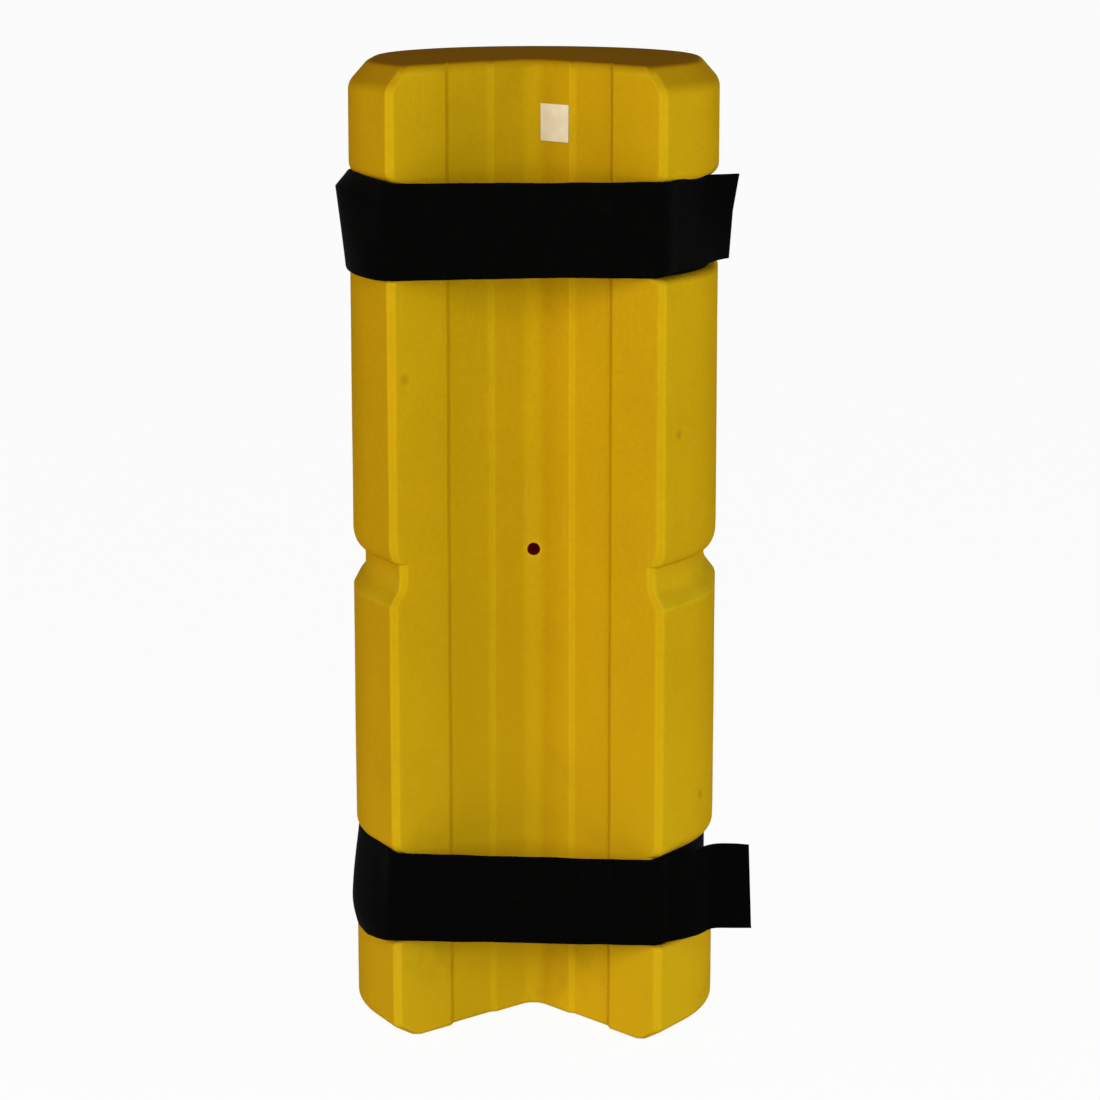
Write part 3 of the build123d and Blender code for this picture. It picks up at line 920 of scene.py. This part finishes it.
def spotted(tree, color, place):
    """Dark specks, and a painted highlight round the rim of the vent."""
    for spot in SPECKS:
        speck = spot_at(tree, place, Vector(spot), SPECK_INSIDE, SPECK_REACH, 0.4)
        color = tint(tree, color, speck, SPECK_COLOR)
    # painted highlight round the rim of the vent
    vent_highlight = spot_at(tree, place, VENT_MIDDLE, VENT / 2, VENT / 2 + VENT_HIGHLIGHT_REACH, 0.25)
    return tint(tree, color, vent_highlight, PAINTED_VENT_HIGHLIGHT)


def plastic_material():
    """Yellow polyethylene with its smudges, rub marks and specks. It is painted paler at the foot for
    light from the floor, has painted shade in creases and on the top, and has painted highlights on edges
    and round the vent.
    """
    material, tree, shader = new_material("moulded_polyethylene", YELLOW, roughness=0.85, specular=0.02)
    shader.inputs["Specular Tint"].default_value = (*GLOSS_COLOR, 1)
    coordinates = add_node(tree, "ShaderNodeTexCoord")
    place = coordinates.outputs["Object"]
    height = upward(tree, place)
    cloudy = noise_at(tree, place, Scale=13, Detail=5, Roughness=0.6)
    color = mottled(tree, place, cloudy)
    # painted light from the floor: the plastic is painted paler towards the bottom
    foot = graded(tree, height, FLOOR_LIGHT_UP * MM, 0, interpolation_type="SMOOTHSTEP")
    color = tint(tree, color, foot, PAINTED_FLOOR_LIGHT)
    color = painted_edge_light_and_crease_shade(tree, color, place)
    color = smudged(tree, color, place, height)
    color = streaked(tree, color, place)
    # painted shade on the top face and the chamfers
    color = top_shaded(tree, color, coordinates.outputs["Normal"], height)
    color = spotted(tree, color, place)
    tree.links.new(color, shader.inputs["Base Color"])
    tree.links.new(ramp(tree, cloudy, (0.3, 0.9), (0.7, 1)), shader.inputs["Roughness"])
    bumped(tree, shader, (noise_at(tree, place, Scale=210, Detail=2), 0.1, 0.0006),
           (noise_at(tree, place, Scale=1100, Detail=2), 0.12, 0.0002))
    return material


def painted_vent_shade_and_glow():
    """Wall of the vent, painted dark red as shade, with a painted glow for the little light that comes
    red through the plastic.
    """
    material, tree, shader = new_material("vent_wall_painted_shade", VENT_SHADE, roughness=0.8, specular=0.04)
    # painted glow, though the wall is no lamp
    shader.inputs["Emission Color"].default_value = (*PAINTED_VENT_GLOW, 1)
    shader.inputs["Emission Strength"].default_value = 0.03
    place = add_node(tree, "ShaderNodeTexCoord").outputs["Object"]
    cloudy = noise_at(tree, place, Scale=300, Detail=3)
    color = ramp(tree, cloudy, (0.3, VENT_SHADE_DARK), (0.7, VENT_SHADE_LIGHT))
    tree.links.new(color, shader.inputs["Base Color"])
    bumped(tree, shader, (cloudy, 0.2, 0.0003))
    return material


def strap_material():
    """Black nylon webbing in a plain weave."""
    material, tree, shader = new_material("woven_nylon", WEBBING_COLOR, roughness=0.9, specular=0.02)
    place = add_node(tree, "ShaderNodeUVMap", uv_map="weave").outputs["UV"]
    threads = []
    for direction in ("X", "Y"):
        wave = add_node(tree, "ShaderNodeTexWave", bands_direction=direction, Scale=WEAVE_WAVE)
        tree.links.new(place, wave.inputs["Vector"])
        threads.append(wave.outputs["Fac"])
    over = add_node(tree, "ShaderNodeTexChecker", Scale=WEAVE_CHECK)
    tree.links.new(place, over.inputs["Vector"])
    weave = add_node(tree, "ShaderNodeMix", data_type="FLOAT")
    tree.links.new(over.outputs["Fac"], weave.inputs["Factor"])
    tree.links.new(threads[0], weave.inputs[2])
    tree.links.new(threads[1], weave.inputs[3])
    wear_and_painted_light = noise_at(tree, place, Scale=60, Detail=4)
    color = ramp(tree, weave.outputs[0], (0.1, 0.0003), (0.9, 0.0015))
    color = tint(tree, color, ramp(tree, wear_and_painted_light, (0.5, 0), (0.8, 0.5)), WEBBING_WORN)
    tree.links.new(color, shader.inputs["Base Color"])
    bumped(tree, shader, (weave.outputs[0], 0.6, 0.00025),
           (noise_at(tree, place, Scale=3000), 0.2, 0.00008))
    return material


def tape_material(name, color, specular, sheen):
    """Black nylon of the hooks, the loops or the thread."""
    material, tree, shader = new_material(name, color, roughness=0.6, specular=specular)
    shader.inputs["Sheen Weight"].default_value = sheen
    place = add_node(tree, "ShaderNodeTexCoord").outputs["Object"]
    fibres = noise_at(tree, place, Scale=1800, Detail=3)
    dark, light = (tuple(share * c for c in color) for share in (0.6, 1.5))
    tree.links.new(ramp(tree, fibres, (0.35, dark), (0.65, light)), shader.inputs["Base Color"])
    tree.links.new(ramp(tree, fibres, (0.3, 0.5), (0.7, 0.8)), shader.inputs["Roughness"])
    bumped(tree, shader, (fibres, 0.3, 0.0001))
    return material


def label_material():
    """Warm white paper, a little yellowed and scuffed."""
    material, tree, shader = new_material("label_paper", PAPER, roughness=0.6, specular=0.2)
    place = add_node(tree, "ShaderNodeTexCoord").outputs["Object"]
    cloudy = noise_at(tree, place, Scale=130, Detail=5)
    fibres = noise_at(tree, place, Scale=2200, Detail=3)
    color = ramp(tree, cloudy, (0.3, PAPER_DARK), (0.7, PAPER_LIGHT))
    color = tint(tree, color, ramp(tree, fibres, (0.55, 0), (0.8, 0.25)), FIBRE_COLOR)
    tree.links.new(color, shader.inputs["Base Color"])
    bumped(tree, shader, (fibres, 0.15, 0.0001))
    return material


# Each strap's loose curves: the bow past the left side and the tail past the right tip, as plan points
# of the lower and the upper edge, and the heights of both edges at the folds and at the free end
UPPER_FOLD_Z, UPPER_TAIL_Z = (442.6, 496.4), (446.8, 498.2, 447.9, 497.8)
LOWER_FOLD_Z, LOWER_TAIL_Z = (61.8, 114.3), (61.8, 112.4, 62.8, 112.8)

plastic = plastic_material()
nylon = strap_material()
hooks = tape_material("hook_nylon", HOOK_COLOR, specular=0.1, sheen=0)
loops = tape_material("loop_nylon", LOOP_COLOR, specular=0.1, sheen=0.05)
thread = tape_material("sewing_thread", THREAD_COLOR, specular=0.02, sheen=0)
moulded_body(plastic, painted_vent_shade_and_glow())
label_sheet(label_material())
strap("upper", nylon,
      bow_low=((-102, -10), (-104.8, -32), (-104.6, -50), (-100.5, -70), (-94.5, -84.5), (-86, -95.5)),
      bow_high=((-101.5, -10), (-104, -30), (-101.6, -53), (-91.4, -75.5), (-83.4, -89)),
      bow_lift=(0.4, 2.8), bulge=(46, 40, 12 / ACROSS_STEPS, 0, 9),
      fold_z=UPPER_FOLD_Z, tail_z=UPPER_TAIL_Z,
      tail_low=((83, -84), (91.4, -67), (103.3, -42), (110.6, -30.4)),
      tail_high=((83.5, -84), (93.5, -63), (103.5, -52.5), (116, -47.5)))
strap("lower", nylon,
      bow_low=((-101.5, -10), (-103.6, -30), (-102.4, -52), (-97, -72), (-91, -85.5), (-83.5, -95.5)),
      bow_high=((-101, -10), (-102.6, -29), (-99.6, -52), (-89.6, -75.5), (-82, -89)),
      bow_lift=(-4, 1.8), bulge=(52, 46, 4 / ACROSS_STEPS, 1, 3.5),
      fold_z=LOWER_FOLD_Z, tail_z=LOWER_TAIL_Z,
      tail_low=((79.8, -95.2), (86.6, -91.6), (92.3, -87.4), (97.9, -82), (102, -76), (106.6, -71.5),
                (118, -71), (128, -70.7)),
      tail_high=((79.8, -94.5), (87, -90), (93, -84.5), (98, -77), (103, -70.5), (109, -67),
                 (118, -67), (126, -69)))
for name, fold_z, tail_z in (
    ("upper", UPPER_FOLD_Z, UPPER_TAIL_Z),
    ("lower", LOWER_FOLD_Z, LOWER_TAIL_Z),
):
    hook_tape(name, hooks, fold_z, tail_z)
    loop_tape(name, loops)
    place, size = patch_place(name, f"{name}_flap_stitching", fold_z, tail_z)
    stitching(f"{name}_flap_thread", f"{name}_flap_stitching", f"{name}_flap",
              place @ Matrix.Rotation(pi, 4, "Z"), size, thread)
    low, high = box(f"{name}_inner_stitching")
    stitching(f"{name}_inner_thread", f"{name}_inner_stitching", f"{name}_inner",
              Matrix.Translation((low + high) / 2), high - low, thread)

# Floor, light and camera
CAMERA = Vector((110, -1848, 675))
CAMERA_YAW = radians(-3.17)
CAMERA_PITCH = radians(11.55)
CAMERA_LENS = 105
CAMERA_SHIFT = -0.04
FLOOR_HALF = 40
FLOOR_WHITE = 0.96  # share of plain white in the floor that is seen, the rest is lit and keeps the shadow
AMBIENT = 0.05
SOFTBOX_AWAY = 1.8
SOFTBOX_ELEVATION, HIGH_ELEVATION = 10.9, 32
SOFTBOX_SIZE, HIGH_SIZE = (0.8, 0.7), (0.4, 0.4)
REAR_AZIMUTH, REAR_AWAY = 180, 2


def seen_as_white(tree, lit, white, share):
    """Shows a surface or the world as plain white to the camera, reflections and refractions."""
    path = add_node(tree, "ShaderNodeLightPath")
    seen = path.outputs["Is Camera Ray"]
    for ray in ("Is Glossy Ray", "Is Transmission Ray"):
        either = add_node(tree, "ShaderNodeMath", operation="MAXIMUM")
        tree.links.new(seen, either.inputs[0])
        tree.links.new(path.outputs[ray], either.inputs[1])
        seen = either.outputs[0]
    part = add_node(tree, "ShaderNodeMath", operation="MULTIPLY")
    part.inputs[1].default_value = share
    tree.links.new(seen, part.inputs[0])
    mix = add_node(tree, "ShaderNodeMixShader")
    tree.links.new(part.outputs[0], mix.inputs["Fac"])
    tree.links.new(lit.outputs[0], mix.inputs[1])
    tree.links.new(white.outputs[0], mix.inputs[2])
    return mix.outputs[0]


def studio():
    """White surroundings and a large white floor that keeps a faint shadow."""
    world = bpy.data.worlds.new("studio")
    bpy.context.scene.world = world
    world.use_nodes = True
    tree = world.node_tree
    ambient = tree.nodes["Background"]
    ambient.inputs["Color"].default_value = (1, 1, 1, 1)
    ambient.inputs["Strength"].default_value = AMBIENT
    white = add_node(tree, "ShaderNodeBackground", Color=(1, 1, 1, 1), Strength=1)
    tree.links.new(seen_as_white(tree, ambient, white, 1), tree.nodes["World Output"].inputs["Surface"])

    mesh = bmesh.new()
    bmesh.ops.create_grid(mesh, x_segments=1, y_segments=1, size=FLOOR_HALF)
    data = bpy.data.meshes.new("floor")
    mesh.to_mesh(data)
    mesh.free()
    floor = bpy.data.objects.new("floor", data)
    bpy.context.scene.collection.objects.link(floor)
    material, tree, shader = new_material("floor_white", FLOOR_COLOR, roughness=0.9, specular=0)
    white = add_node(tree, "ShaderNodeEmission", Color=(1, 1, 1, 1), Strength=1)
    floor_shader = seen_as_white(tree, shader, white, FLOOR_WHITE)
    tree.links.new(floor_shader, tree.nodes["Material Output"].inputs["Surface"])
    data.materials.append(material)


def aim(lamp, azimuth, elevation, distance):
    """Puts a lamp round the middle of the body, facing it.

    The azimuth is from the photograph's side, positive to the right.
    """
    a, e = radians(azimuth), radians(elevation)
    place = bpy.data.objects.new(lamp.name, lamp)
    bpy.context.scene.collection.objects.link(place)
    back = Vector((sin(a) * cos(e), -cos(a) * cos(e), sin(e)))
    place.location = Vector((0, -TIP_BACK, HEIGHT / 2)) * MM + back * distance
    place.rotation_euler = back.to_track_quat("Z", "Y").to_euler()
    return place


def softbox(name, azimuth, power, color, elevation=SOFTBOX_ELEVATION, size=SOFTBOX_SIZE):
    """Soft rectangular lamp."""
    lamp = bpy.data.lights.new(name, "AREA")
    lamp.shape = "RECTANGLE"
    lamp.size, lamp.size_y = size
    lamp.energy = power
    lamp.color = color
    aim(lamp, azimuth, elevation, SOFTBOX_AWAY)


def rear_fill(elevation, strength, softness):
    """Even light on the rounded front, which the photograph doesn't show."""
    lamp = bpy.data.lights.new("rear_fill", "SUN")
    lamp.energy, lamp.angle = strength, radians(softness)
    aim(lamp, REAR_AZIMUTH, elevation, REAR_AWAY).visible_glossy = False


def photo_camera():
    """Camera with the photograph's view."""
    camera = bpy.data.objects.new("camera", bpy.data.cameras.new("camera"))
    bpy.context.scene.collection.objects.link(camera)
    camera.data.lens = CAMERA_LENS
    camera.data.shift_y = CAMERA_SHIFT
    camera.location = CAMERA * MM
    level = cos(CAMERA_PITCH)
    look = Vector((sin(CAMERA_YAW) * level, cos(CAMERA_YAW) * level, -sin(CAMERA_PITCH)))
    camera.rotation_euler = look.to_track_quat("-Z", "Y").to_euler()
    bpy.context.scene.camera = camera


studio()
softbox("left_softbox", azimuth=-50, power=15.5, color=(1, 0.81, 0.68))
softbox("front_softbox", azimuth=24, power=16.6, color=(0.88, 0.96, 0.84))
softbox("right_softbox", azimuth=88, power=9.1, color=(1, 0.88, 0.74))
softbox("high_softbox", azimuth=0, power=5.6, color=(0.95, 0.95, 0.8),
        elevation=HIGH_ELEVATION, size=HIGH_SIZE)
rear_fill(elevation=1, strength=2.4, softness=25)
photo_camera()
bpy.context.scene.view_settings.view_transform = "Standard"
